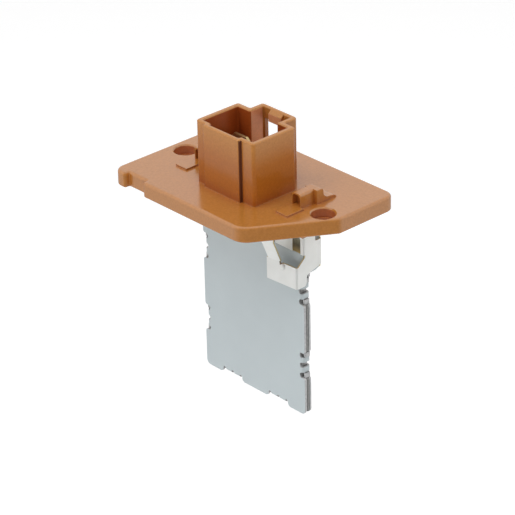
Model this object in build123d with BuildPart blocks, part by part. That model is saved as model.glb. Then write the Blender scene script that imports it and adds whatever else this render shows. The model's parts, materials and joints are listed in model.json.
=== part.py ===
from build123d import *
import os
from math import cos, radians, sin, tan

os.makedirs("parts", exist_ok=True)

# Blower motor resistor: a moulded plug and flange carries a flat resistor card that hangs in the air duct.
# Origin: midway between the two screw holes, on the underside of the flange, the face that meets the duct.
# +Z points out of the plug, X runs along the card's width, and the card's front faces -Y.

# Driving dimensions
hole_spacing = 53.3
screw_margin = 5.3
flange_length = hole_spacing + 2 * screw_margin
flange_width = 42.3
flange_thickness = 4.4
plug_width = 22.0
plug_height = 17.95
plug_x = 0.95
card_width = 39.5
card_reach = 58.05
cover_sheet = 0.6
mica_sheet = 0.45
foil = 0.2
blade_width = 6.3
blade_thickness = 0.8
clip_sheet = 0.4

# Flange details
flange_corner = 3.0
cut_corner_front_round = 5.0
cut_corner_side_round = 2.5
notch_round = 0.85
notch_root = 0.25
edge_round = 0.8
lower_edge_chamfer = 0.3
cut_corner_run = 13.95
cut_corner_rise = 22.05
edge_notch_inset = 4.75
edge_notch_width = 7.25
edge_notch_depth = 1.6
screw_bore_radius = 2.75
screw_seat_radius = 3.2
screw_seat_depth = 2.7
screw_seat_chamfer = 0.35
boss_height = 1.2
boss_front = -9.0
boss_back = 5.3
boss_corner = 2.0
boss_margin = 0.65
cut_over = 1.0

# Plug walls, measured from the plug's own centre line
side_wall = 1.5
front_wall = 1.25
latch_wall = 1.2
plug_front = -10.42
plug_back = 4.55
latch_back = 9.08
half_plug = plug_width / 2
front_step = 0.88
front_left_inset = 3.53
front_right_inset = 4.52
latch_left_inset = 4.7
latch_right_inset = 4.04
front_step_left = front_left_inset - half_plug
front_step_right = half_plug - front_right_inset
latch_left = latch_left_inset - half_plug
latch_right = half_plug - latch_right_inset
plug_floor = 3.4
rim_height = flange_thickness + plug_height
rim_chamfer = 0.3
plug_corner = 1.0
plug_small_corner = 0.8
step_round = 0.5
step_root = 0.2
latch_root = 0.4
pocket_round = 0.4
window_drop = 3.4
window_top = rim_height - window_drop
window_height = 7.95
window_margin = 0.45
catch_width = 4.8
catch_x = 0.4
catch_depth = 0.9
catch_drop = 0.25
catch_top = rim_height - catch_drop

# Screw head guards beside the plug, mirrored about a line close to the middle of the flange
guard_inset = 8.95
guard_start = hole_spacing / 2 - guard_inset
guard_mirror = 0.4
guard_width = 4.3
guard_waist = 3.2
guard_height = 4.0
guard_face = -2.5
guard_knob = 2.3
guard_toe = -8.3
guard_toe_height = 0.5
guard_heel = 9.3
guard_shoulder = 3.8
guard_round = 0.8
guard_side_round = 0.7
guard_root = 0.4
heel_sweep = [(1.1, 1.9), (2.4, 1.05), (4.4, 0.8)]
hollow_depth = 1.7
hollow_width = 2.7
hollow_round = 0.9
hollow_far_wall = 0.2
hollow_roof = 0.4

# Blades in two rows of two
blade_margin = 0.6
blade_column = half_plug - side_wall - blade_margin - blade_width / 2
blade_drop = 6.25
blade_tip = rim_height - blade_drop
blade_point = 1.0
front_row = -6.3
tail_width = 2.7
tail_shift = 1.65
tail_overlap = 1.8
tail_end = -8.6
tail_bend = 0.8
crank_start = -1.9
crank_end = -4.7
rivet_height = -6.6
rivet_radius = 0.8
rivet_head_radius = 1.3
rivet_head = 0.4
rivet_reach = blade_column + tail_shift + rivet_head_radius

# Card layers from front to back
card_front = -1.53
front_mica_face = card_front + cover_sheet
foil_face = front_mica_face + mica_sheet
back_mica_face = foil_face + foil
back_cover_face = back_mica_face + mica_sheet
card_back = back_cover_face + cover_sheet
rear_row = back_cover_face + blade_thickness / 2
card_top = -1.0
card_half = card_width / 2
card_corner = 1.4
mica_inset = 0.25
near = 0.01

# Folded tabs, two in each zone, with round reliefs beside them
tab_pitch = 3.07
tab_inset = 0.7
tab_outer = card_half - tab_inset
bottom_tab_pitch = 3.3
bottom_tab_inset = 0.75
bottom_tab_outer = card_reach - bottom_tab_inset
tab_inner_bend = 0.25
tab_root = 1.0
relief_radius = 0.75
bottom_relief_radius = 0.5
tab_lap = 2.2
zone_depth = 4.0
zone_corner = 0.7
bottom_zone_corner = 1.1
upper_zone = -20.75
lower_zone = -43.05
bottom_zone = 9.15
terminal_window_left_margin = 4.3
terminal_window_right_margin = 0.4
terminal_window_left = -rivet_reach - terminal_window_left_margin
terminal_window_right = rivet_reach + terminal_window_right_margin
terminal_window_floor = -9.9
terminal_window_round = 1.2

# Resistor foil
track_inset = 4.25
track_half = card_half - track_inset
track_top = -10.5
track_bottom = track_inset - card_reach
track_slot = 0.8
track_turns = 8
pad_top = -3.0

# Card guides under the flange
guide_lap = 4.75
guide_margin = 1.45
guide_inner = card_half - guide_lap
guide_outer = card_half + guide_margin
guide_front = -3.1
guide_back = 2.4
guide_drop = 3.5
guide_play = 0.05
boss_reach = guide_outer + boss_margin

# Fuse clip, measured from the plug's centre line
clip_play = 0.15
clip_side = card_half + clip_play + clip_sheet
clip_plate_front = -4.5
clip_plate_top = -12.15
clip_plate_bottom = -18.45
clip_plate_length = 10.65
clip_spring_back = 4.1
clip_back_margin = 3.83
clip_back = card_back + clip_back_margin
clip_leaf_front = card_front - clip_sheet
clip_leaf_bottom = -9.35
clip_top = -guide_drop - 2 * guide_play
clip_leaf_gap = 0.6
clip_leaf_end = rivet_reach + clip_leaf_gap
arm_lean = 23.0
arm_near = 5.55
arm_far = 10.15
arm_bend_height = -5.3
arm_pocket = 1.8
arm_bend_round = 0.8
arm_relief_radius = 0.45
slot_inset = 4.25
slot_width = 3.0
slot_middle_x = clip_side - slot_inset + slot_width / 2
slot_roof = 0.7
slot_top = clip_top - slot_roof
slot_round = 0.9
slant_back = -1.55
slant_top = -10.0
side_toe_back = -1.05
side_toe_round = 0.9
side_notch_front = -0.85
side_notch_top = -15.6
side_step = -15.1
side_rear_bottom = -13.9
side_rear_round = 0.8
rear_cut_front = 2.25
rear_cut_floor = -6.35
rear_leaf_length = 7.5
rear_leaf_bottom = -14.75
rear_toe_run = 4.0
rear_toe = -18.0
fold_radius = clip_sheet + clip_play
dimple_radius = 0.85
dimple_height = 0.35
dimple_place = (5.1, -13.1)
solder_height = 0.35
solder_play = 0.05

clip_right = plug_x + clip_side
spring_back = radians(clip_spring_back)
plate_plane = Plane(
    origin=(clip_right, clip_plate_front, 0),
    x_dir=(-cos(spring_back), -sin(spring_back), 0),
    z_dir=(-sin(spring_back), cos(spring_back), 0),
)
arm_step = (arm_bend_height - clip_plate_top) * tan(radians(arm_lean))
arm_depth = clip_sheet / 2 - arm_step


def plug_outline(points, rounds):
    """A closed outline in the plug's own x and y, with a round for each corner."""
    placed = [(plug_x + x, y) for x, y in points]
    return FilletPolyline(*placed, radius=rounds, close=True)


# Housing: flange, plug shell, latch box, screw head guards and card guides in one moulding
half_length = flange_length / 2
half_width = flange_width / 2
notch_left = edge_notch_inset - half_length
notch_right = notch_left + edge_notch_width
flange_points = [
    (-half_length, -half_width),
    (notch_left, -half_width),
    (notch_left, edge_notch_depth - half_width),
    (notch_right, edge_notch_depth - half_width),
    (notch_right, -half_width),
    (half_length - cut_corner_run, -half_width),
    (half_length, cut_corner_rise - half_width),
    (half_length, half_width),
    (-half_length, half_width),
]
flange_rounds = [
    flange_corner,
    notch_round,
    notch_root,
    notch_root,
    notch_round,
    cut_corner_front_round,
    cut_corner_side_round,
    flange_corner,
    flange_corner,
]
plug_points = [
    (-half_plug, plug_front),
    (front_step_left, plug_front),
    (front_step_left, plug_front - front_step),
    (front_step_right, plug_front - front_step),
    (front_step_right, plug_front),
    (half_plug, plug_front),
    (half_plug, plug_back),
    (latch_right, plug_back),
    (latch_right, latch_back),
    (latch_left, latch_back),
    (latch_left, plug_back),
    (-half_plug, plug_back),
]
front_rounds = [plug_small_corner, step_root, step_round, step_round, step_root, plug_corner]
rear_rounds = [plug_small_corner, latch_root, plug_corner, plug_corner, latch_root, plug_corner]
pocket_front = plug_front + front_wall
pocket_back = plug_back - side_wall
pocket_side = half_plug - side_wall
latch_face = latch_back - latch_wall
pocket_points = [
    (-pocket_side, pocket_front),
    (front_step_left + front_wall, pocket_front),
    (front_step_left + front_wall, pocket_front - front_step),
    (front_step_right - front_wall, pocket_front - front_step),
    (front_step_right - front_wall, pocket_front),
    (pocket_side, pocket_front),
    (pocket_side, pocket_back),
    (latch_right - side_wall, pocket_back),
    (latch_right - side_wall, latch_face),
    (latch_left + side_wall, latch_face),
    (latch_left + side_wall, pocket_back),
    (-pocket_side, pocket_back),
]
pocket_rounds = [pocket_round] * len(pocket_points)
guard_top = flange_thickness + guard_height
screw_places = [(-hole_spacing / 2, 0), (hole_spacing / 2, 0)]

# Screw head guard: a thin toe, a hollow block with a wider knob, and a heel that sweeps down to a blunt end
with BuildPart() as guard:
    with BuildSketch(Plane.YZ.offset(guard_start)):
        with BuildLine():
            toe_line = Polyline(
                (guard_toe, flange_thickness - guard_root),
                (guard_toe, flange_thickness + guard_toe_height),
                (guard_face, flange_thickness + guard_toe_height),
                (guard_face, guard_top),
                (guard_shoulder, guard_top),
            )
            shoulder = TangentArc(
                toe_line @ 1,
                (guard_shoulder + guard_round, guard_top - guard_round),
                tangent=(1, 0),
            )
            sweep_down = Spline(
                shoulder @ 1,
                *[(guard_shoulder + out, flange_thickness + up) for out, up in heel_sweep],
                tangents=((0.1, -1), (1, -0.2)),
            )
            blunt_end = TangentArc(
                sweep_down @ 1,
                (guard_heel, flange_thickness),
                tangent=sweep_down % 1,
            )
            Polyline(
                blunt_end @ 1,
                (guard_heel, flange_thickness - guard_root),
                (guard_toe, flange_thickness - guard_root),
            )
        make_face()
    extrude(amount=guard_width)
    with BuildSketch(Plane.XZ.offset(-guard_heel)):
        with Locations((guard_start + guard_width / 2, guard_top - guard_height / 2)):
            RectangleRounded(guard_width, guard_height + 2 * guard_root, guard_side_round)
    extrude(amount=guard_heel - guard_toe, mode=Mode.INTERSECT)

    # The block in front of the knob is narrower, with rounded upper edges
    with BuildSketch(Plane.XZ.offset(-guard_knob)) as block_side:
        with Locations((guard_start + guard_width / 2, flange_thickness + guard_height)):
            Rectangle(guard_width + 2 * cut_over, 2 * guard_height)
        with Locations((guard_start + guard_waist / 2, flange_thickness + guard_height / 2)):
            Rectangle(guard_waist, guard_height, mode=Mode.SUBTRACT)
        waist_top = block_side.vertices().filter_by_position(Axis.Y, guard_top - near, guard_top + near)
        fillet(waist_top, radius=guard_side_round)
    extrude(amount=guard_knob - guard_face, mode=Mode.SUBTRACT)

    # Hollow in the block's front
    with BuildSketch(Plane.XZ.offset(-guard_face)) as hollow:
        hollow_top = guard_top - hollow_roof
        hollow_bottom = flange_thickness + guard_toe_height
        with Locations((guard_start + hollow_far_wall + hollow_width / 2, (hollow_top + hollow_bottom) / 2)):
            Rectangle(hollow_width, hollow_top - hollow_bottom)
        fillet(hollow.vertices().group_by(Axis.Y)[-1], radius=hollow_round)
    extrude(amount=-hollow_depth, mode=Mode.SUBTRACT)

with BuildPart() as housing:
    with BuildSketch(Plane.XY):
        with BuildLine():
            FilletPolyline(*flange_points, radius=flange_rounds, close=True)
        make_face()
    extrude(amount=flange_thickness)
    fillet(housing.edges().group_by(Axis.Z)[-1], radius=edge_round)
    chamfer(housing.edges().group_by(Axis.Z)[0], length=lower_edge_chamfer)

    # Screw head guards, one the mirror image of the other
    add(guard.part)
    add(mirror(guard.part, about=Plane.YZ.offset(guard_mirror)))

    # Seats and bores of the two screws
    with Locations(*[(x, y, flange_thickness) for x, y in screw_places]):
        CounterBoreHole(screw_bore_radius, screw_seat_radius, screw_seat_depth)
    seat_rims = housing.edges().filter_by(GeomType.CIRCLE).group_by(Axis.Z)
    rim_edges = [
        edge
        for group in seat_rims
        for edge in group
        if abs(edge.center().Z - flange_thickness) < near and abs(edge.radius - screw_seat_radius) < near
    ]
    chamfer(rim_edges, length=screw_seat_chamfer)

    # Plug shell
    with BuildSketch(Plane.XY.offset(flange_thickness - guard_root)):
        with BuildLine():
            plug_outline(plug_points, front_rounds + rear_rounds)
        make_face()
    extrude(amount=plug_height + guard_root)
    with BuildSketch(Plane.XY.offset(rim_height)):
        with BuildLine():
            plug_outline(pocket_points, pocket_rounds)
        make_face()
    extrude(amount=plug_floor - rim_height, mode=Mode.SUBTRACT)
    chamfer(housing.edges().group_by(Axis.Z)[-1], length=rim_chamfer)

    # Latch window through the rear wall, and the catch above it
    window_bottom = window_top - window_height
    window_left = plug_x + latch_left + side_wall + window_margin
    window_right = plug_x + latch_right - side_wall - window_margin
    with BuildSketch(Plane.XZ.offset(-latch_back - cut_over)):
        with BuildLine():
            Polyline(
                (window_left, window_bottom),
                (window_right, window_bottom),
                (window_right, window_top),
                (window_left, window_top),
                close=True,
            )
        make_face()
    extrude(amount=latch_wall + 2 * cut_over, mode=Mode.SUBTRACT)
    catch_left = plug_x + catch_x - catch_width / 2
    with BuildSketch(Plane.YZ.offset(catch_left)):
        with BuildLine():
            Polyline(
                (latch_face + latch_wall / 2, window_top),
                (latch_face - catch_depth, window_top),
                (latch_face - catch_depth, catch_top - catch_depth),
                (latch_face, catch_top),
                (latch_face + latch_wall / 2, catch_top),
                close=True,
            )
        make_face()
    extrude(amount=catch_width)

    # Locating boss that fits the opening of the duct, with a groove for the card's upper edge
    with BuildSketch(Plane.XY):
        with Locations((plug_x, (boss_front + boss_back) / 2)):
            RectangleRounded(2 * boss_reach, boss_back - boss_front, boss_corner)
    extrude(amount=-boss_height)
    with BuildSketch(Plane.XY.offset(card_top + guide_play)):
        with Locations((plug_x, (card_front + card_back) / 2)):
            Rectangle(card_width + 2 * guide_play, card_back - card_front + 2 * guide_play)
    extrude(amount=-boss_height, mode=Mode.SUBTRACT)

    # Slots that the blades are pressed into
    with BuildSketch(Plane.XY.offset(-boss_height - cut_over)):
        for row in (front_row, rear_row):
            with Locations((plug_x - blade_column, row), (plug_x + blade_column, row)):
                Rectangle(blade_width, blade_thickness)
    extrude(amount=boss_height + plug_floor + 2 * cut_over, mode=Mode.SUBTRACT)

    # Guides that hold the top of the card at both ends
    for side in (-1, 1):
        guide_middle = plug_x + side * (guide_inner + guide_outer) / 2
        slot_middle = plug_x + side * (guide_inner + card_half) / 2
        with BuildSketch(Plane.XY):
            with Locations((guide_middle, (guide_front + guide_back) / 2)):
                Rectangle(guide_outer - guide_inner, guide_back - guide_front)
        extrude(amount=-guide_drop)
        with BuildSketch(Plane.XY.offset(-guide_drop)):
            with Locations((slot_middle, (card_front + card_back) / 2)):
                Rectangle(card_half - guide_inner + 2 * guide_play, card_back - card_front + 2 * guide_play)
        extrude(amount=guide_drop + card_top + guide_play, mode=Mode.SUBTRACT)

    # Pocket that takes the end of the clip's arm
    pocket_plane = Plane(
        origin=plate_plane.from_local_coords(((arm_near + arm_far) / 2, 0, arm_depth)),
        x_dir=plate_plane.x_dir,
        z_dir=(0, 0, 1),
    )
    with BuildSketch(pocket_plane.offset(-boss_height - cut_over)):
        Rectangle(arm_far - arm_near + 4 * guide_play, clip_sheet + 2 * guide_play)
    extrude(amount=arm_pocket + guide_play + boss_height + cut_over, mode=Mode.SUBTRACT)
housing.part.label = "housing"
export_step(housing.part, "parts/housing.step")

# Blade terminals: the rear pair runs straight down behind the card, the front pair is cranked back to it
blade_length = blade_tip + boss_height
tail_top = tail_overlap - boss_height
for side, side_name in ((-1, "left"), (1, "right")):
    blade_x = plug_x + side * blade_column

    with BuildPart() as rear_terminal:
        with BuildSketch(Plane.XZ.offset(blade_thickness / 2 - rear_row)):
            with Locations((blade_x, blade_tip - blade_length / 2)):
                Rectangle(blade_width, blade_length)
            with Locations((blade_x - tail_shift, (tail_end + tail_top) / 2)):
                Rectangle(tail_width, tail_top - tail_end)
        extrude(amount=-blade_thickness)
        tip_corners = rear_terminal.edges().filter_by(Axis.Y).group_by(Axis.Z)[-1]
        chamfer(tip_corners, length=blade_point)
        chamfer(rear_terminal.edges().group_by(Axis.Z)[-1].filter_by(Axis.X), length=blade_thickness / 4)
        with Locations(Plane(origin=(blade_x - tail_shift, rear_row, rivet_height), z_dir=(0, -1, 0))):
            Hole(rivet_radius)
    rear_terminal.part.label = "terminal_rear_" + side_name
    export_step(rear_terminal.part, "parts/terminal_rear_" + side_name + ".step")

    tail_y = front_mica_face - blade_thickness / 2
    with BuildPart() as front_terminal:
        with BuildSketch(Plane.XZ.offset(blade_thickness / 2 - front_row)):
            with Locations((blade_x, blade_tip - blade_length / 2)):
                Rectangle(blade_width, blade_length)
        extrude(amount=-blade_thickness)
        tip_corners = front_terminal.edges().filter_by(Axis.Y).group_by(Axis.Z)[-1]
        chamfer(tip_corners, length=blade_point)
        chamfer(front_terminal.edges().group_by(Axis.Z)[-1].filter_by(Axis.X), length=blade_thickness / 4)
        with BuildSketch(Plane.YZ.offset(blade_x + tail_shift - tail_width / 2)) as crank:
            with BuildLine() as crank_line:
                FilletPolyline(
                    (front_row, tail_top),
                    (front_row, crank_start),
                    (tail_y, crank_end),
                    (tail_y, tail_end),
                    radius=tail_bend,
                )
            trace(line_width=blade_thickness)
        extrude(amount=tail_width)
        with Locations(Plane(origin=(blade_x + tail_shift, tail_y, rivet_height), z_dir=(0, -1, 0))):
            Hole(rivet_radius, depth=blade_thickness)
    front_terminal.part.label = "terminal_front_" + side_name
    export_step(front_terminal.part, "parts/terminal_front_" + side_name + ".step")

# Rivets that join the tails to the resistor foil between the two mica sheets
rivet_stacks = {
    "rivet_rear": (-tail_shift, front_mica_face, rear_row + blade_thickness / 2),
    "rivet_front": (tail_shift, front_mica_face - blade_thickness, back_cover_face),
}
for side, side_name in ((-1, "left"), (1, "right")):
    for rivet_name, (shift, stack_front, stack_back) in rivet_stacks.items():
        rivet_x = plug_x + side * blade_column + shift
        with BuildPart() as rivet:
            with BuildSketch(Plane.XZ.offset(rivet_head - stack_front)):
                with Locations((rivet_x, rivet_height)):
                    Circle(rivet_head_radius)
            extrude(amount=-rivet_head)
            with BuildSketch(Plane.XZ.offset(-stack_front)):
                with Locations((rivet_x, rivet_height)):
                    Circle(rivet_radius)
            extrude(amount=stack_front - stack_back)
            with BuildSketch(Plane.XZ.offset(-stack_back)):
                with Locations((rivet_x, rivet_height)):
                    Circle(rivet_head_radius)
            extrude(amount=-rivet_head)
        rivet.part.label = rivet_name + "_" + side_name
        export_step(rivet.part, "parts/" + rivet_name + "_" + side_name + ".step")


# Card layers: two steel covers outside, two mica sheets inside them, and the resistor foil in the middle
tab_limit = tab_outer - cover_sheet - tab_inner_bend
bottom_tab_limit = bottom_tab_outer - cover_sheet - tab_inner_bend
zone_length = 2 * (tab_pitch + relief_radius)
bottom_zone_length = 2 * (bottom_tab_pitch + bottom_relief_radius)
rivet_columns = [side * blade_column + shift for side in (-1, 1) for shift in (-tail_shift, tail_shift)]


def layer_outline(face, inset):
    """Draw a layer's outline on the plane of its front face, cut back where the folded tabs pass."""
    reach = card_reach - inset
    with BuildSketch(Plane.XZ.offset(-face)) as outline:
        with Locations((plug_x, (card_top - reach) / 2)):
            Rectangle(card_width - 2 * inset, reach + card_top)
        fillet(outline.vertices().group_by(Axis.Y)[0], radius=card_corner)
        for side in (-1, 1):
            zone_x = plug_x + side * (tab_limit + zone_depth / 2)
            with Locations((zone_x, upper_zone), (zone_x, lower_zone)):
                Rectangle(zone_depth, zone_length, mode=Mode.SUBTRACT)
            with Locations((plug_x + side * bottom_zone, -bottom_tab_limit - zone_depth / 2)):
                Rectangle(bottom_zone_length, zone_depth, mode=Mode.SUBTRACT)
        edge_half = card_half - inset
        side_corners = [
            corner
            for corner in outline.vertices()
            if abs(abs(corner.X - plug_x) - edge_half) < near and zone_depth < -corner.Y < reach - zone_depth
        ]
        fillet(side_corners, radius=zone_corner)
        bottom_corners = [
            corner
            for corner in outline.vertices()
            if abs(corner.Y + reach) < near and abs(corner.X - plug_x) < edge_half - card_corner - near
        ]
        fillet(bottom_corners, radius=bottom_zone_corner)
    return outline.sketch


def terminal_window(face):
    """Draw the opening in a cover that the terminal tails and rivets sit in."""
    with BuildSketch(Plane.XZ.offset(-face)) as window:
        window_x = plug_x + (terminal_window_left + terminal_window_right) / 2
        with Locations((window_x, terminal_window_floor / 2)):
            Rectangle(terminal_window_right - terminal_window_left, -terminal_window_floor)
        fillet(window.vertices().group_by(Axis.Y)[0], radius=terminal_window_round)
    return window.sketch


with BuildPart() as front_cover:
    extrude(layer_outline(card_front, 0), amount=-cover_sheet)
    extrude(terminal_window(card_front), amount=-cover_sheet, mode=Mode.SUBTRACT)

    # Side tabs fold round the card's edges and back over the rear cover
    fold_front = card_front + cover_sheet / 2
    fold_back = card_back + cover_sheet / 2
    fold_out = tab_outer - cover_sheet / 2
    tab_bend = tab_inner_bend + cover_sheet / 2
    tab_width = tab_pitch - 2 * relief_radius
    for side in (-1, 1):
        for zone in (upper_zone, lower_zone):
            for half in (-0.5, 0.5):
                with BuildSketch(Plane.XY.offset(zone + half * tab_pitch - tab_width / 2)):
                    with BuildLine():
                        FilletPolyline(
                            (plug_x + side * (tab_limit - tab_root), fold_front),
                            (plug_x + side * fold_out, fold_front),
                            (plug_x + side * fold_out, fold_back),
                            (plug_x + side * (tab_outer - tab_lap), fold_back),
                            radius=tab_bend,
                        )
                    trace(line_width=cover_sheet)
                extrude(amount=tab_width)
    with BuildSketch(Plane.XZ.offset(-card_front)):
        for side in (-1, 1):
            for zone in (upper_zone, lower_zone):
                relief_x = plug_x + side * (tab_limit + relief_radius / 2)
                with Locations(*[(relief_x, zone + step * tab_pitch) for step in (-1, 0, 1)]):
                    Circle(relief_radius)
    extrude(amount=-cover_sheet, mode=Mode.SUBTRACT)

    # Bottom tabs fold the same way
    bottom_out = cover_sheet / 2 - bottom_tab_outer
    bottom_tab_width = bottom_tab_pitch - 2 * bottom_relief_radius
    for side in (-1, 1):
        for half in (-0.5, 0.5):
            tab_start = plug_x + side * bottom_zone + half * bottom_tab_pitch - bottom_tab_width / 2
            with BuildSketch(Plane.YZ.offset(tab_start)):
                with BuildLine():
                    FilletPolyline(
                        (fold_front, tab_root - bottom_tab_limit),
                        (fold_front, bottom_out),
                        (fold_back, bottom_out),
                        (fold_back, tab_lap - bottom_tab_outer),
                        radius=tab_bend,
                    )
                trace(line_width=cover_sheet)
            extrude(amount=bottom_tab_width)
    with BuildSketch(Plane.XZ.offset(-card_front)):
        for side in (-1, 1):
            relief_z = -bottom_tab_limit - bottom_relief_radius / 2
            zone_x = plug_x + side * bottom_zone
            with Locations(*[(zone_x + step * bottom_tab_pitch, relief_z) for step in (-1, 0, 1)]):
                Circle(bottom_relief_radius)
    extrude(amount=-cover_sheet, mode=Mode.SUBTRACT)
front_cover.part.label = "front_cover"
export_step(front_cover.part, "parts/front_cover.step")

with BuildPart() as rear_cover:
    extrude(layer_outline(back_cover_face, 0), amount=-cover_sheet)
    extrude(terminal_window(back_cover_face), amount=-cover_sheet, mode=Mode.SUBTRACT)
rear_cover.part.label = "rear_cover"
export_step(rear_cover.part, "parts/rear_cover.step")

for sheet_name, sheet_face in (("front_mica", front_mica_face), ("rear_mica", back_mica_face)):
    with BuildPart() as mica:
        extrude(layer_outline(sheet_face, mica_inset), amount=-mica_sheet)
        with BuildSketch(Plane.XZ.offset(-sheet_face)):
            with Locations(*[(plug_x + column, rivet_height) for column in rivet_columns]):
                Circle(rivet_radius)
        extrude(amount=-mica_sheet, mode=Mode.SUBTRACT)
    mica.part.label = sheet_name
    export_step(mica.part, "parts/" + sheet_name + ".step")

# Resistor foil: a winding track below, and one pad for each terminal above
with BuildPart() as resistor_foil:
    with BuildSketch(Plane.XZ.offset(-foil_face)):
        with Locations((plug_x, (track_top + track_bottom) / 2)):
            Rectangle(2 * track_half, track_top - track_bottom)
        with Locations(*[(plug_x + column, (pad_top + track_top) / 2) for column in rivet_columns]):
            Rectangle(tail_width, pad_top - track_top)
        track_pitch = (track_top - track_bottom) / (track_turns + 1)
        for turn in range(track_turns):
            slot_side = 1 if turn % 2 else -1
            with Locations((plug_x + slot_side * track_pitch, track_top - (turn + 1) * track_pitch)):
                Rectangle(2 * track_half, track_slot, mode=Mode.SUBTRACT)
        with Locations(*[(plug_x + column, rivet_height) for column in rivet_columns]):
            Circle(rivet_radius, mode=Mode.SUBTRACT)
    extrude(amount=-foil)
resistor_foil.part.label = "resistor_foil"
export_step(resistor_foil.part, "parts/resistor_foil.step")

# Fuse clip: one strip folded round the card's upper right corner, with an arm that rises into the housing
fold_line = fold_radius - clip_sheet / 2
side_middle = clip_right - clip_sheet / 2
side_front = clip_plate_front + fold_radius
side_back = clip_back - fold_radius
leaf_middle = clip_leaf_front + clip_sheet / 2
leaf_bend_back = clip_leaf_front + fold_radius
rear_middle = clip_back - clip_sheet / 2
plate_corner_reach = clip_sheet / 2 * (1 - sin(spring_back)) / cos(spring_back)
plate_corner = plate_plane.from_local_coords((plate_corner_reach, 0, clip_sheet / 2))
plate_end = plate_plane.from_local_coords((clip_plate_length, 0, clip_sheet / 2))
side_rounds = [0, side_toe_round, fold_radius, fold_radius, 0, 0, pocket_round, 0, 0, 0, pocket_round, 0]
with BuildPart() as fuse_clip:
    # Side face, with its front edge cut on the slant between the two folds
    with BuildSketch(Plane.YZ.offset(clip_right - clip_sheet)):
        with BuildLine():
            FilletPolyline(
                (side_front, clip_plate_bottom),
                (side_toe_back, clip_plate_bottom),
                (side_notch_front, side_notch_top),
                (0.0, side_step),
                (side_back, side_rear_bottom),
                (side_back, rear_cut_floor),
                (rear_cut_front, rear_cut_floor),
                (rear_cut_front, clip_top),
                (leaf_bend_back, clip_top),
                (leaf_bend_back, clip_leaf_bottom),
                (slant_back, slant_top),
                (side_front, clip_plate_top),
                radius=side_rounds,
                close=True,
            )
        make_face()
    extrude(amount=clip_sheet)

    # Lower plate in front of the card, sprung a few degrees open at its fold
    with BuildSketch(Plane.XY.offset(clip_plate_bottom)):
        with BuildLine():
            FilletPolyline(
                (plate_end.X, plate_end.Y),
                (plate_corner.X, plate_corner.Y),
                (side_middle, side_front + fold_radius),
                radius=fold_line,
            )
        trace(line_width=clip_sheet)
    extrude(amount=clip_plate_top - clip_plate_bottom)

    # Upper leaf against the card's front, with a slot from its lower edge
    with BuildSketch(Plane.XY.offset(clip_leaf_bottom)):
        with BuildLine():
            FilletPolyline(
                (plug_x + clip_leaf_end, leaf_middle),
                (side_middle, leaf_middle),
                (side_middle, leaf_bend_back + fold_radius),
                radius=fold_line,
            )
        trace(line_width=clip_sheet)
    extrude(amount=clip_top - clip_leaf_bottom)
    with BuildSketch(Plane.XZ.offset(-clip_leaf_front)) as leaf_slot:
        with Locations((plug_x + slot_middle_x, (slot_top + clip_leaf_bottom) / 2)):
            Rectangle(slot_width, slot_top - clip_leaf_bottom)
        fillet(leaf_slot.vertices().group_by(Axis.Y)[-1], radius=slot_round)
    extrude(amount=-clip_sheet, mode=Mode.SUBTRACT)

    # Rear leaf behind the card, folded over the height of the side face and then rising past it
    with BuildSketch(Plane.XY.offset(side_rear_bottom)):
        with BuildLine():
            FilletPolyline(
                (side_middle, side_back - fold_radius),
                (side_middle, rear_middle),
                (clip_right - rear_leaf_length, rear_middle),
                radius=fold_line,
            )
        trace(line_width=clip_sheet)
    extrude(amount=rear_cut_floor - side_rear_bottom)
    with BuildSketch(Plane.XZ.offset(-clip_back)) as rear_leaf:
        with BuildLine():
            Polyline(
                (clip_right - fold_radius, clip_top),
                (clip_right - fold_radius, rear_leaf_bottom),
                (clip_right - rear_toe_run, rear_toe),
                (clip_right - rear_leaf_length, rear_toe),
                (clip_right - rear_leaf_length, clip_top),
                close=True,
            )
        make_face()
        fillet(rear_leaf.vertices().group_by(Axis.Y)[-1].sort_by(Axis.X)[-1], radius=side_rear_round)
    extrude(amount=clip_sheet)

    # Arm that leans forward from the plate and then rises straight into the housing
    arm_plane = Plane(
        origin=plate_plane.from_local_coords((arm_far, 0, 0)),
        x_dir=plate_plane.z_dir,
        z_dir=-plate_plane.x_dir,
    )
    with BuildSketch(arm_plane):
        with BuildLine():
            FilletPolyline(
                (clip_sheet / 2, clip_plate_top - tab_root),
                (clip_sheet / 2, clip_plate_top),
                (arm_depth, arm_bend_height),
                (arm_depth, arm_pocket),
                radius=arm_bend_round,
            )
        trace(line_width=clip_sheet)
    extrude(amount=arm_far - arm_near)
    with BuildSketch(plate_plane):
        with Locations((arm_near, clip_plate_top)):
            Circle(arm_relief_radius)
    extrude(amount=clip_sheet, mode=Mode.SUBTRACT)

    # Dimple beside the arm's root
    with BuildSketch(plate_plane):
        with Locations(dimple_place):
            Circle(dimple_radius)
    extrude(amount=-dimple_height)
    dimple_rims = [
        edge
        for edge in fuse_clip.edges().filter_by(GeomType.CIRCLE)
        if abs(edge.radius - dimple_radius) < near
    ]
    chamfer(ShapeList(dimple_rims).sort_by(Axis.Y)[0], length=dimple_height / 2)
fuse_clip.part.label = "fuse_clip"
export_step(fuse_clip.part, "parts/fuse_clip.step")

# Fusible solder between the clip's leaf and the card
with BuildPart() as fuse_solder:
    with BuildSketch(Plane.XZ.offset(-card_front)) as solder_pad:
        with Locations((plug_x + slot_middle_x, (slot_top + clip_leaf_bottom) / 2)):
            Rectangle(slot_width - 2 * solder_play, slot_top - clip_leaf_bottom - 2 * solder_play)
        fillet(solder_pad.vertices().group_by(Axis.Y)[-1], radius=slot_round - solder_play)
    extrude(amount=solder_height)
    chamfer(fuse_solder.faces().sort_by(Axis.Y)[0].edges(), length=solder_height / 2)
fuse_solder.part.label = "fuse_solder"
export_step(fuse_solder.part, "parts/fuse_solder.step")
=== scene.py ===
import json
from math import cos, hypot, pi, radians, sin

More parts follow.
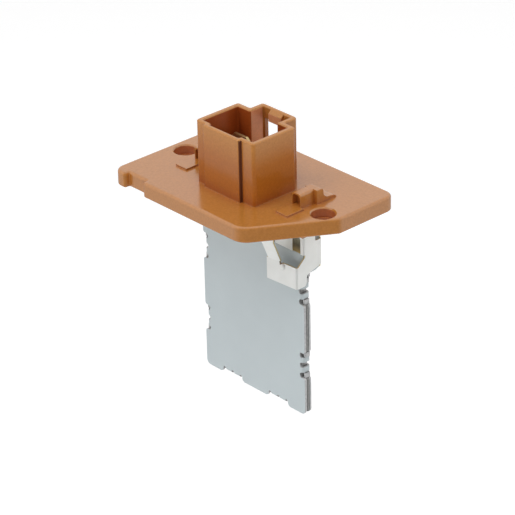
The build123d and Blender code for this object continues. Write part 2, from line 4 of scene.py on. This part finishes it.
import bmesh
import bpy
from mathutils import Euler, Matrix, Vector
from mathutils.bvhtree import BVHTree


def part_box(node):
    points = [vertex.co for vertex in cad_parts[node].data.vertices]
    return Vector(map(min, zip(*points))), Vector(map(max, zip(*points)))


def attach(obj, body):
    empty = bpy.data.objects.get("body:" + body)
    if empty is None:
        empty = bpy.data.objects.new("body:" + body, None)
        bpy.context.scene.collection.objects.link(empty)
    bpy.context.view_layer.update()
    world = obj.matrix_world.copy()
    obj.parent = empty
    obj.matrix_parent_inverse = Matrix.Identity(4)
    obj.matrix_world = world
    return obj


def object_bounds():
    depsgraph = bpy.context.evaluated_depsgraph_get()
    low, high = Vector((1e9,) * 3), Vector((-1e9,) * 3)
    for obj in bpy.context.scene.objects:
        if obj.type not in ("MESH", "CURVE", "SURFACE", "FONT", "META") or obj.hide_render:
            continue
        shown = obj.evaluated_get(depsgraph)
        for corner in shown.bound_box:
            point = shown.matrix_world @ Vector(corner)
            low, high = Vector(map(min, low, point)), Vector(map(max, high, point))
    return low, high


# Looks of the blower motor resistor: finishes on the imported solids, a plain studio and the photo's camera.
# Lengths are in metres, in the same frame as the solids.

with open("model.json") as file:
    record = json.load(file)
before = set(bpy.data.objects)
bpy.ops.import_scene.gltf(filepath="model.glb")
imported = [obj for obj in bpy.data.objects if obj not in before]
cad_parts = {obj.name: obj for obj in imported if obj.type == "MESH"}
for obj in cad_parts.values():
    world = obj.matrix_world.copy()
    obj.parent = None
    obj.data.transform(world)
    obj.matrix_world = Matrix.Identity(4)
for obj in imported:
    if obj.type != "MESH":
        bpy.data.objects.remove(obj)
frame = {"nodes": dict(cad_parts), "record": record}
nodes = frame["nodes"]
cad_low, cad_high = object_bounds()

# Camera fitted to the photo: its turn is in degrees, its lens and sensor are in millimetres
CAMERA_PLACE = (0.460487, -0.416108, 0.310257)
CAMERA_TURN = (62.08636, 1.08278, 47.24830)
CAMERA_LENS = 183.868
CAMERA_SENSOR = 36.0
CAMERA_NEAR = 0.01
CAMERA_FAR = 50.0

# Studio
FLOOR_HEIGHT = -0.42
FLOOR_SIZE = 12.0
FLOOR_GLOW = 0.385
SKY_STRENGTH = 0.45
WHITE = (1.0, 1.0, 1.0, 1.0)

# Brightness of the studio in reflections, above the object, below it and towards the photographer.
# It falls to the last between two cosines of the angle to the photographer's side.
MIRROR_ABOVE = 1.0
MIRROR_BELOW = 0.72
MIRROR_DIM = 0.1
PHOTOGRAPHER_SIDE = (0.74, -0.67, 0.0)
DIM_FROM = 0.1
DIM_FULLY = 0.8

# Numbers of the colour sockets on a Mix node
MIX_FIRST = 6
MIX_SECOND = 7
MIX_RESULT = 2

# Noise levels between which a mottled colour changes, and the detail of the noises
MOTTLE_START = 0.3
MOTTLE_END = 0.7
MOTTLE_DETAIL = 4.0
GRAIN_DETAIL = 3.0

# Samples of the shading in corners and of the rounded edges
CORNER_SAMPLES = 8
EDGE_SAMPLES = 6

# Surface of the moulded plastic: mottling and grain per metre, depth of the grain and rounding of the edges.
# In a hollow, its colour is mottled between these shares of the mean.
PLASTIC_IOR = 1.6
PLASTIC_MOTTLE = 1700.0
PLASTIC_GRAIN = 3200.0
PLASTIC_GRAIN_DEPTH = 0.000012
PLASTIC_EDGE = 0.00016
HOLLOW_DARKER = 0.93
HOLLOW_LIGHTER = 1.07

# Heights of the flange's top and the plug's rim, and tints of the plug's walls between them: painted shade
# towards the foot and a painted sheen at the head
FLANGE_TOP = 0.0044
PLUG_TOP = cad_high[2]
WALL_FOOT_PAINTED_SHADE = (0.84, 0.62, 0.42)
WALL_MIDDLE_PAINTED_SHADE = (0.88, 0.71, 0.42)
WALL_HEAD_PAINTED_SHEEN = (1.06, 1.12, 1.3)
NO_TINT = (1.0, 1.0, 1.0)

# Corners of the box round the face where the plug's front steps back at its right, which stays in shade
STEP_LOW = (0.0072, -0.0113, 0.0045)
STEP_HIGH = (0.0078, -0.01035, 0.0219)

# Distance of the screw holes from the middle, and a radius that takes in their seats
SCREW_REACH = 0.02665
SCREW_SEAT = 0.0034

# The plug lies within this distance of the middle along X, and its walls count from this far over the flange
PLUG_REACH = 0.0125
PLUG_FOOT = 0.0001

# A polygon whose normal rises less than this is upright
UPRIGHT_RISE = 0.5

# The socket's walls stand at most this far outside its stated opening, and its rim's round is this high
SOCKET_MARGIN = 0.0007
SOCKET_RIM = 0.0006

# Painted shade round the relief at the root of the clip's arm, and the distances over which the painted shade
# fades
ARM_ROOT = (0.01575, -0.0049, -0.0122)
RELIEF_SHADE_INNER = 0.00045
RELIEF_SHADE_OUTER = 0.0007

# Heights of the solder's ends
SOLDER_TOP = -0.0044
SOLDER_BOTTOM = -0.0093

# Thickness that takes in the clip's and the covers' sheets: a polygon with more behind it is a cut edge.
# It is measured from a little under the polygon.
CLIP_SHEET = 0.0008
COVER_SHEET = 0.0007
SKIN = 0.000001

# Folded tabs on the card's sides: middle heights of the pairs, and how far the tabs and their reliefs reach
UPPER_ZONE = -0.02075
LOWER_ZONE = -0.04305
TAB_REACH = 0.00245
RELIEF_REACH = 0.00385

# Edges of the card's inner layers: they lie between these distances from the card's side
LAYER_INSET = 0.0003
LAYER_DEPTH = 0.00105
LAYER_ROUND = 0.0001

# Pip on the clip's plate
PIP_PLACE = (0.016165, -0.004885, -0.0131)
PIP_OUTWARD = (0.0715, -0.9974, 0.0)
PIP_RADIUS = 0.00098
PIP_HEIGHT = 0.00048
DOME_SIDES = 32
DOME_RINGS = 8

# Segments of an extruded piece's rounded edges
ROUND_SEGMENTS = 2

# Lower edge of the clip's rear leaf: an outline along Y and Z, and where it starts along X
LIP_OUTLINE = (
    (0.0004, -0.0152),
    (0.001, -0.0154),
    (0.0027, -0.01525),
    (0.0038, -0.01475),
    (0.004, -0.0138),
    (0.002, -0.0136),
    (0.0005, -0.0144),
)
LIP_INNER = 0.0205
LIP_ROUND = 0.0001

# Axes along which an outline is extruded
ALONG_X = 0
ALONG_Y = 1


def add_node(tree, kind, **settings):
    """Add a shader node and set its properties and unlinked inputs by name."""
    node = tree.nodes.new(kind)
    for name, value in settings.items():
        if name in node.inputs:
            node.inputs[name].default_value = value
        else:
            setattr(node, name, value)
    return node


def plain_material(name, color, roughness, metallic=0.0, **sockets):
    """Make a Principled material with constants on its own sockets."""
    material = bpy.data.materials.new(name)
    material.use_nodes = True
    shader = material.node_tree.nodes["Principled BSDF"]
    shader.inputs["Base Color"].default_value = (*color, 1.0)
    shader.inputs["Roughness"].default_value = roughness
    shader.inputs["Metallic"].default_value = metallic
    for socket, value in sockets.items():
        shader.inputs[socket.replace("_", " ")].default_value = value
    return material, material.node_tree, shader


def map_range(tree, value, start, end, at_start, at_end):
    """Map an output's values from one range to another and return the new output."""
    node = add_node(tree, "ShaderNodeMapRange")
    node.inputs["From Min"].default_value = start
    node.inputs["From Max"].default_value = end
    node.inputs["To Min"].default_value = at_start
    node.inputs["To Max"].default_value = at_end
    tree.links.new(value, node.inputs["Value"])
    return node.outputs["Result"]


def multiply_base(tree, shader):
    """Put a Multiply node between the base colour's last node and the shader, and return the new node."""
    mix = add_node(tree, "ShaderNodeMix", data_type="RGBA", blend_type="MULTIPLY", Factor=1.0)
    base = shader.inputs["Base Color"]
    tree.links.new(base.links[0].from_socket, mix.inputs[MIX_FIRST])
    tree.links.new(mix.outputs[MIX_RESULT], base)
    return mix


def mottle(tree, shader, scale, low, high):
    """Vary the base colour between two tones with soft noise in object space, and return the coordinates."""
    place = add_node(tree, "ShaderNodeTexCoord")
    noise = add_node(tree, "ShaderNodeTexNoise", Scale=scale, Detail=MOTTLE_DETAIL)
    ramp = add_node(tree, "ShaderNodeValToRGB")
    start, end = ramp.color_ramp.elements
    start.position = MOTTLE_START
    start.color = (*low, 1.0)
    end.position = MOTTLE_END
    end.color = (*high, 1.0)
    tree.links.new(place.outputs["Object"], noise.inputs["Vector"])
    tree.links.new(noise.outputs["Fac"], ramp.inputs["Fac"])
    tree.links.new(ramp.outputs["Color"], shader.inputs["Base Color"])
    return place


def shade_contacts(tree, shader, reach, shade):
    """Tint the base colour where other surfaces are close, as contact shadows and light between walls do."""
    open_air = add_node(tree, "ShaderNodeAmbientOcclusion", samples=CORNER_SAMPLES, Distance=reach)
    tint = add_node(tree, "ShaderNodeMix", data_type="RGBA")
    tint.inputs[MIX_FIRST].default_value = (*shade, 1.0)
    tint.inputs[MIX_SECOND].default_value = WHITE
    mix = multiply_base(tree, shader)
    tree.links.new(open_air.outputs["AO"], tint.inputs["Factor"])
    tree.links.new(tint.outputs[MIX_RESULT], mix.inputs[MIX_SECOND])


def soften(tree, shader, radius, place=None, scale=0.0, depth=0.0):
    """Round the shading of the edges, with a fine grain on top where a depth is given."""
    edges = add_node(tree, "ShaderNodeBevel", samples=EDGE_SAMPLES, Radius=radius)
    last = edges
    if depth:
        grain = add_node(tree, "ShaderNodeTexNoise", Scale=scale, Detail=GRAIN_DETAIL)
        bump = add_node(tree, "ShaderNodeBump", Strength=1.0, Distance=depth)
        tree.links.new(place.outputs["Object"], grain.inputs["Vector"])
        tree.links.new(grain.outputs["Fac"], bump.inputs["Height"])
        tree.links.new(edges.outputs["Normal"], bump.inputs["Normal"])
        last = bump
    tree.links.new(last.outputs["Normal"], shader.inputs["Normal"])


def tint_by_height(tree, shader, place, low, high, stops):
    """Tint the base colour by stops, each a share of the height from low to high and a colour."""
    split = add_node(tree, "ShaderNodeSeparateXYZ")
    ramp = add_node(tree, "ShaderNodeValToRGB")
    marks = ramp.color_ramp.elements
    marks.remove(marks[1])
    marks[0].position = stops[0][0]
    marks[0].color = (*stops[0][1], 1.0)
    for share, tint in stops[1:]:
        marks.new(share).color = (*tint, 1.0)
    mix = multiply_base(tree, shader)
    tree.links.new(place.outputs["Object"], split.inputs["Vector"])
    tree.links.new(map_range(tree, split.outputs["Z"], low, high, 0.0, 1.0), ramp.inputs["Fac"])
    tree.links.new(ramp.outputs["Color"], mix.inputs[MIX_SECOND])


def tint_near(tree, shader, place, centre, inner, outer, tint):
    """Tint the base colour round a point, fully within the inner distance and not at all past the outer."""
    away = add_node(tree, "ShaderNodeVectorMath", operation="DISTANCE")
    away.inputs[1].default_value = centre
    mix = multiply_base(tree, shader)
    mix.inputs[MIX_SECOND].default_value = (*tint, 1.0)
    tree.links.new(place.outputs["Object"], away.inputs[0])
    tree.links.new(map_range(tree, away.outputs["Value"], inner, outer, 1.0, 0.0), mix.inputs["Factor"])


def housing_plastic(name, gloss, walls=False):
    """Orange-brown moulded plastic. On the plug's walls, painted shade deepens the colour towards the flange
    and a painted sheen lightens it near the rim.
    """
    material, tree, shader = plain_material(
        name, (0.445, 0.173, 0.031), roughness=0.2, IOR=PLASTIC_IOR, Specular_IOR_Level=gloss
    )
    place = mottle(tree, shader, PLASTIC_MOTTLE, low=(0.41, 0.159, 0.028), high=(0.48, 0.187, 0.035))
    # Painted shade and painted sheen on the plug's walls, by height
    if walls:
        stops = ((0.0, NO_TINT), (0.03, WALL_FOOT_PAINTED_SHADE), (0.56, WALL_MIDDLE_PAINTED_SHADE), (0.94, WALL_HEAD_PAINTED_SHEEN))
        tint_by_height(tree, shader, place, FLANGE_TOP, PLUG_TOP, stops)
    shade_contacts(tree, shader, reach=0.003, shade=(0.85, 0.55, 0.43))
    soften(tree, shader, PLASTIC_EDGE, place, PLASTIC_GRAIN, PLASTIC_GRAIN_DEPTH)
    return material


def shaded_plastic(name, color):
    """The same plastic in a hollow, as a copy with light and shade painted into its colour: light from wall
    to wall changes its colour and dulls it.
    """
    material, tree, shader = plain_material(
        name, color, roughness=0.3, IOR=PLASTIC_IOR, Specular_IOR_Level=0.35
    )
    low = [HOLLOW_DARKER * value for value in color]
    high = [HOLLOW_LIGHTER * value for value in color]
    place = mottle(tree, shader, PLASTIC_MOTTLE, low, high)
    shade_contacts(tree, shader, reach=0.008, shade=(0.6, 0.42, 0.5))
    soften(tree, shader, PLASTIC_EDGE, place, PLASTIC_GRAIN, PLASTIC_GRAIN_DEPTH)
    return material


def cover_steel():
    """Blue-grey coated sheet, with painted shade beside its folds and a brown line of painted shadow right at
    them.
    """
    material, tree, shader = plain_material(
        "cover_steel", (0.59, 0.655, 0.675), roughness=0.48, metallic=0.25
    )
    place = mottle(tree, shader, scale=120.0, low=(0.58, 0.645, 0.665), high=(0.6, 0.665, 0.685))
    shade_contacts(tree, shader, reach=0.0022, shade=(0.36, 0.36, 0.36))
    # Painted contact shadow: a brown line where other surfaces touch the sheet
    shade_contacts(tree, shader, reach=0.0005, shade=(0.3, 0.24, 0.14))
    soften(tree, shader, radius=0.00012, place=place, scale=5200.0, depth=0.000004)
    return material


def cover_cut():
    """Bare cut edge of the covers."""
    material, tree, shader = plain_material(
        "cover_cut", (0.45, 0.45, 0.44), roughness=0.5, metallic=0.3
    )
    mottle(tree, shader, scale=1500.0, low=(0.44, 0.45, 0.46), high=(0.68, 0.68, 0.68))
    shade_contacts(tree, shader, reach=0.0008, shade=(0.2, 0.2, 0.2))
    return material


def tinned_face():
    """Tin plating of the clip, with painted brown shade in the relief at its arm's root."""
    material, tree, shader = plain_material(
        "tinned_face", (0.92, 0.935, 0.91), roughness=0.34, metallic=0.4
    )
    place = mottle(tree, shader, scale=300.0, low=(0.9, 0.915, 0.885), high=(0.94, 0.955, 0.93))
    # Painted shade, dark brown, in the relief at the arm's root
    tint_near(tree, shader, place, ARM_ROOT, RELIEF_SHADE_INNER, RELIEF_SHADE_OUTER, tint=(0.2, 0.12, 0.05))
    shade_contacts(tree, shader, reach=0.0006, shade=(0.5, 0.49, 0.46))
    soften(tree, shader, radius=0.0001, place=place, scale=4200.0, depth=0.000004)
    return material


def brass_cut():
    """Bare brass in the clip's cut edges."""
    material, tree, shader = plain_material(
        "brass_cut", (0.78, 0.66, 0.34), roughness=0.42, metallic=0.5
    )
    mottle(tree, shader, scale=1200.0, low=(0.66, 0.55, 0.27), high=(0.84, 0.73, 0.4))
    shade_contacts(tree, shader, reach=0.001, shade=(0.3, 0.24, 0.16))
    return material


def terminal_brass():
    """Rolled brass of the blades and rivets."""
    material, tree, shader = plain_material(
        "terminal_brass", (0.7, 0.55, 0.27), roughness=0.34, metallic=0.9
    )
    soften(tree, shader, radius=0.0001)
    return material


def mica_sheet():
    """Pressed mica board, with painted shade between the sheets."""
    material, tree, shader = plain_material("mica_sheet", (0.4, 0.4, 0.38), roughness=0.7)
    mottle(tree, shader, scale=1500.0, low=(0.35, 0.35, 0.34), high=(0.48, 0.48, 0.47))
    # Painted shade where the sheets lie close
    shade_contacts(tree, shader, reach=0.0009, shade=(0.1, 0.1, 0.1))
    return material


def resistor_alloy():
    """Foil between the mica sheets."""
    return plain_material("resistor_alloy", (0.42, 0.39, 0.35), roughness=0.4, metallic=0.9)[0]


def solder_tinted_by_height():
    """Solder, tinted along its height: yellow-brown at its lower end, darker part way up and lighter near its
    top.
    """
    material, tree, shader = plain_material(
        "solder_tinted_by_height", (0.3, 0.28, 0.2), roughness=0.3, metallic=0.4
    )
    place = mottle(tree, shader, scale=900.0, low=(0.24, 0.22, 0.15), high=(0.36, 0.34, 0.25))
    stops = (
        (0.0, (1.3, 1.0, 0.5)),
        (0.3, (0.65, 0.52, 0.36)),
        (0.5, (0.4, 0.37, 0.33)),
        (0.9, (1.05, 1.1, 1.1)),
    )
    tint_by_height(tree, shader, place, SOLDER_BOTTOM, SOLDER_TOP, stops)
    # Painted light: lighter where other surfaces are close
    shade_contacts(tree, shader, reach=0.0005, shade=(1.6, 1.6, 1.6))
    return material


def paint(names, face, cut=None, sheet=0.0):
    """Give nodes their finish. A polygon with more than a sheet's thickness behind it is a cut edge."""
    for name in names:
        mesh = nodes[name].data
        mesh.materials.clear()
        mesh.materials.append(face)
        for polygon in mesh.polygons:
            polygon.material_index = 0
        if cut is None:
            continue
        mesh.materials.append(cut)
        surface = BVHTree.FromPolygons(
            [vertex.co for vertex in mesh.vertices],
            [polygon.vertices[:] for polygon in mesh.polygons],
        )
        for polygon in mesh.polygons:
            start = polygon.center - polygon.normal * SKIN
            hit, _, _, thickness = surface.ray_cast(start, -polygon.normal)
            if hit is None or thickness > sheet:
                polygon.material_index = 1


def inside(point, low, high):
    """Say whether a point lies in a box."""
    return all(least <= value <= most for least, value, most in zip(low, point, high))


def hollow(name):
    """Box from the flange to the plug's rim that takes in a stated opening and the walls round it."""
    openings = frame["record"]["physics"]["openings"]
    low, high = next(opening["box_m"] for opening in openings if opening["name"] == name)
    return (
        (low[0] - SOCKET_MARGIN, low[1] - SOCKET_MARGIN, FLANGE_TOP - SOCKET_MARGIN),
        (high[0] + SOCKET_MARGIN, high[1] + SOCKET_MARGIN, PLUG_TOP - SOCKET_RIM),
    )


def housing_area(polygon, socket, latch):
    """Name the part of the housing that a polygon belongs to, given the boxes of its two hollows."""
    middle = polygon.center
    upright = abs(polygon.normal.z) < UPRIGHT_RISE
    from_screw = hypot(abs(middle.x) - SCREW_REACH, middle.y)
    if inside(middle, *socket):
        return "socket"
    if upright and inside(middle, *latch):
        return "latch"
    if inside(middle, STEP_LOW, STEP_HIGH):
        return "step"
    if upright and middle.z < FLANGE_TOP and from_screw < SCREW_SEAT:
        return "bore"
    if middle.z > FLANGE_TOP + PLUG_FOOT and abs(middle.x) < PLUG_REACH:
        return "wall"
    return "flange"


def paint_housing():
    """Give each part of the housing its own finish."""
    paint(["housing"], housing_plastic("housing_plastic", gloss=0.95))
    # Copies with light and shade painted in: darker in the socket and on the step, lighter in the screw bores
    # and the latch space
    finishes = {
        "socket": shaded_plastic("socket_plastic_painted_shade", (0.4, 0.085, 0.014)),
        "step": shaded_plastic("step_plastic_painted_shade", (0.12, 0.035, 0.012)),
        "bore": shaded_plastic("bore_plastic_painted_light", (0.56, 0.19, 0.06)),
        "wall": housing_plastic("wall_plastic_painted_shade_and_sheen", gloss=0.5, walls=True),
        "latch": shaded_plastic("latch_plastic_painted_light", (0.78, 0.34, 0.16)),
    }
    mesh = nodes["housing"].data
    slots = {"flange": 0}
    for area, material in finishes.items():
        slots[area] = len(mesh.materials)
        mesh.materials.append(material)
    socket = hollow("plug_mouth")
    latch = hollow("latch_space")
    for polygon in mesh.polygons:
        polygon.material_index = slots[housing_area(polygon, socket, latch)]


# Finishes on the solids
paint_housing()
paint([name for name in nodes if name.startswith(("terminal", "rivet"))], terminal_brass())
steel = cover_steel()
steel_edge = cover_cut()
tinned = tinned_face()
paint(["front_cover", "rear_cover"], steel, steel_edge, COVER_SHEET)
paint(["front_mica", "rear_mica"], mica_sheet())
paint(["resistor_foil"], resistor_alloy())
paint(["fuse_clip"], tinned, brass_cut(), CLIP_SHEET)
paint(["fuse_solder"], solder_tinted_by_height())


def mesh_piece(name, points, polygons, material, smooth=False):
    """Make a piece from its points and polygons. It rides on the object's one body."""
    mesh = bpy.data.meshes.new(name)
    mesh.from_pydata([tuple(point) for point in points], [], polygons)
    mesh.update()
    mesh.materials.append(material)
    for polygon in mesh.polygons:
        polygon.use_smooth = smooth
    piece = bpy.data.objects.new(name, mesh)
    bpy.context.scene.collection.objects.link(piece)
    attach(piece, "root")
    return piece


def plate(name, outline, start, end, axis, material, rounding):
    """Extrude an outline along an axis and round its edges. The outline is given along the other two axes."""
    count = len(outline)
    points = []
    for depth in (start, end):
        for pair in outline:
            point = list(pair)
            point.insert(axis, depth)
            points.append(point)
    polygons = [list(range(count - 1, -1, -1)), list(range(count, 2 * count))]
    for index in range(count):
        after = (index + 1) % count
        polygons.append([index, after, after + count, index + count])
    piece = mesh_piece(name, points, polygons, material)
    work = bmesh.new()
    work.from_mesh(piece.data)
    bmesh.ops.recalc_face_normals(work, faces=work.faces)
    work.to_mesh(piece.data)
    work.free()
    edges = piece.modifiers.new("edges", "BEVEL")
    edges.width = rounding
    edges.segments = ROUND_SEGMENTS


def dome(name, centre, outward, radius, height, material):
    """Make a low round bump of rings that close in a pole, with its rim on the surface."""
    turn = Vector(outward).to_track_quat("Z", "Y")
    points = [Vector(centre) + turn @ Vector((0, 0, height))]
    polygons = []
    for ring in range(1, DOME_RINGS + 1):
        lean = pi / 2 * ring / DOME_RINGS
        for step in range(DOME_SIDES):
            angle = 2 * pi * step / DOME_SIDES
            reach = radius * sin(lean)
            local = Vector((reach * cos(angle), reach * sin(angle), height * cos(lean)))
            points.append(Vector(centre) + turn @ local)
    for step in range(DOME_SIDES):
        after = (step + 1) % DOME_SIDES
        polygons.append([0, 1 + step, 1 + after])
        for ring in range(DOME_RINGS - 1):
            inner = 1 + ring * DOME_SIDES
            outer = inner + DOME_SIDES
            polygons.append([inner + step, outer + step, outer + after, inner + after])
    mesh_piece(name, points, polygons, material, smooth=True)


def layer_edges():
    """Add the edges of the card's inner layers that show in the reliefs beside the folded tabs."""
    card_low, card_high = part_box("rear_cover")
    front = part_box("front_mica")[0][1]
    back = card_high[1]
    for side_name, side, inward in (("left", card_low[0], 1), ("right", card_high[0], -1)):
        near = side + inward * LAYER_INSET
        deep = side + inward * LAYER_DEPTH
        for zone_name, zone in (("upper", UPPER_ZONE), ("lower", LOWER_ZONE)):
            for half_name, half in (("below", -1), ("above", 1)):
                end = zone + half * RELIEF_REACH
                tab = zone + half * TAB_REACH
                name = "_".join(("layers", side_name, zone_name, half_name))
                outline = ((deep, tab), (near, tab), (near, end), (deep, end))
                plate(name, outline, front, back, ALONG_Y, steel_edge, LAYER_ROUND)


layer_edges()

# Round pip on the clip's plate, over the solid's plain one
dome("clip_pip", PIP_PLACE, PIP_OUTWARD, PIP_RADIUS, PIP_HEIGHT, tinned)

# Lower edge of the clip's rear leaf, which shows under the clip's side. It wears the covers' blue-grey steel
# as painted shade and reflection on the tinned leaf.
lip_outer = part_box("fuse_clip")[1][0] - CLIP_SHEET / 2
plate("clip_rear_lip_painted_shade", LIP_OUTLINE, LIP_INNER, lip_outer, ALONG_X, steel, LIP_ROUND)


def by_ray(tree, lit, mirrored, seen):
    """Join what diffuse rays, mirrored rays and the camera meet into one shader."""
    path = add_node(tree, "ShaderNodeLightPath")
    indirect = add_node(tree, "ShaderNodeMixShader")
    whole = add_node(tree, "ShaderNodeMixShader")
    tree.links.new(path.outputs["Is Glossy Ray"], indirect.inputs["Fac"])
    tree.links.new(lit.outputs[0], indirect.inputs[1])
    tree.links.new(mirrored.outputs[0], indirect.inputs[2])
    tree.links.new(path.outputs["Is Camera Ray"], whole.inputs["Fac"])
    tree.links.new(indirect.outputs[0], whole.inputs[1])
    tree.links.new(seen.outputs[0], whole.inputs[2])
    return whole.outputs[0]


def studio_level(tree, place, bright):
    """Brightness in reflections: bright round the object, dark where the photographer stood."""
    unit = add_node(tree, "ShaderNodeVectorMath", operation="NORMALIZE")
    toward = add_node(tree, "ShaderNodeVectorMath", operation="DOT_PRODUCT")
    toward.inputs[1].default_value = PHOTOGRAPHER_SIDE
    tree.links.new(place, unit.inputs[0])
    tree.links.new(unit.outputs["Vector"], toward.inputs[0])
    return map_range(tree, toward.outputs["Value"], DIM_FROM, DIM_FULLY, bright, MIRROR_DIM)


def light_surroundings():
    """Surround the object with white: soft on the object, and full white to the camera."""
    world = bpy.data.worlds.new("studio")
    bpy.context.scene.world = world
    world.use_nodes = True
    sky = world.node_tree
    lit = sky.nodes["Background"]
    lit.inputs["Color"].default_value = WHITE
    lit.inputs["Strength"].default_value = SKY_STRENGTH
    seen = add_node(sky, "ShaderNodeBackground", Color=WHITE, Strength=1.0)
    mirrored = add_node(sky, "ShaderNodeBackground", Color=WHITE)
    direction = add_node(sky, "ShaderNodeTexCoord").outputs["Generated"]
    sky.links.new(studio_level(sky, direction, MIRROR_ABOVE), mirrored.inputs["Strength"])
    sky.links.new(by_ray(sky, lit, mirrored, seen), sky.nodes["World Output"].inputs["Surface"])


def lay_floor():
    """Lay a pale floor well below the card. It lights the object and keeps the object's shadow."""
    bpy.ops.mesh.primitive_plane_add(size=FLOOR_SIZE, location=(0, 0, FLOOR_HEIGHT))
    floor = bpy.context.object
    floor.name = "floor"
    paper, tree, lit = plain_material("paper", (0.9, 0.9, 0.9), roughness=0.9)
    glow = add_node(tree, "ShaderNodeEmission", Color=WHITE, Strength=FLOOR_GLOW)
    seen = add_node(tree, "ShaderNodeAddShader")
    mirrored = add_node(tree, "ShaderNodeEmission", Color=WHITE)
    position = add_node(tree, "ShaderNodeNewGeometry").outputs["Position"]
    tree.links.new(lit.outputs[0], seen.inputs[0])
    tree.links.new(glow.outputs[0], seen.inputs[1])
    tree.links.new(studio_level(tree, position, MIRROR_BELOW), mirrored.inputs["Strength"])
    output = tree.nodes["Material Output"]
    tree.links.new(by_ray(tree, lit, mirrored, seen), output.inputs["Surface"])
    floor.data.materials.append(paper)


def area_lamp(name, place, power, size):
    """Add a square lamp that faces the object. Reflections show the studio's brightness in its place."""
    light = bpy.data.lights.new(name, "AREA")
    light.energy = power
    light.size = size
    lamp = bpy.data.objects.new(name, light)
    lamp.location = place
    lamp.rotation_euler = (-Vector(place)).to_track_quat("-Z", "Y").to_euler()
    lamp.visible_glossy = False
    bpy.context.scene.collection.objects.link(lamp)


def place_camera():
    """Put the camera where the photo's stood."""
    lens = bpy.data.cameras.new("camera")
    lens.lens = CAMERA_LENS
    lens.sensor_width = CAMERA_SENSOR
    lens.clip_start = CAMERA_NEAR
    lens.clip_end = CAMERA_FAR
    camera = bpy.data.objects.new("camera", lens)
    camera.location = CAMERA_PLACE
    camera.rotation_euler = Euler([radians(angle) for angle in CAMERA_TURN], "XYZ")
    bpy.context.scene.collection.objects.link(camera)
    bpy.context.scene.camera = camera


# Studio and camera
light_surroundings()
lay_floor()
area_lamp("key", place=(-0.3, -0.62, 1.05), power=5.3, size=0.7)
area_lamp("fill", place=(0.8, -0.95, -0.3), power=4.8, size=0.9)
area_lamp("top", place=(0.4, -0.25, 1.2), power=4.9, size=0.6)
area_lamp("back", place=(-0.85, 0.75, 0.65), power=1.2, size=1.2)
area_lamp("left", place=(-0.5, -1.15, -0.15), power=1.5, size=0.9)
area_lamp("right", place=(0.9, 0.8, 0.4), power=2.1, size=0.9)
place_camera()
bpy.context.scene.view_settings.view_transform = "Standard"
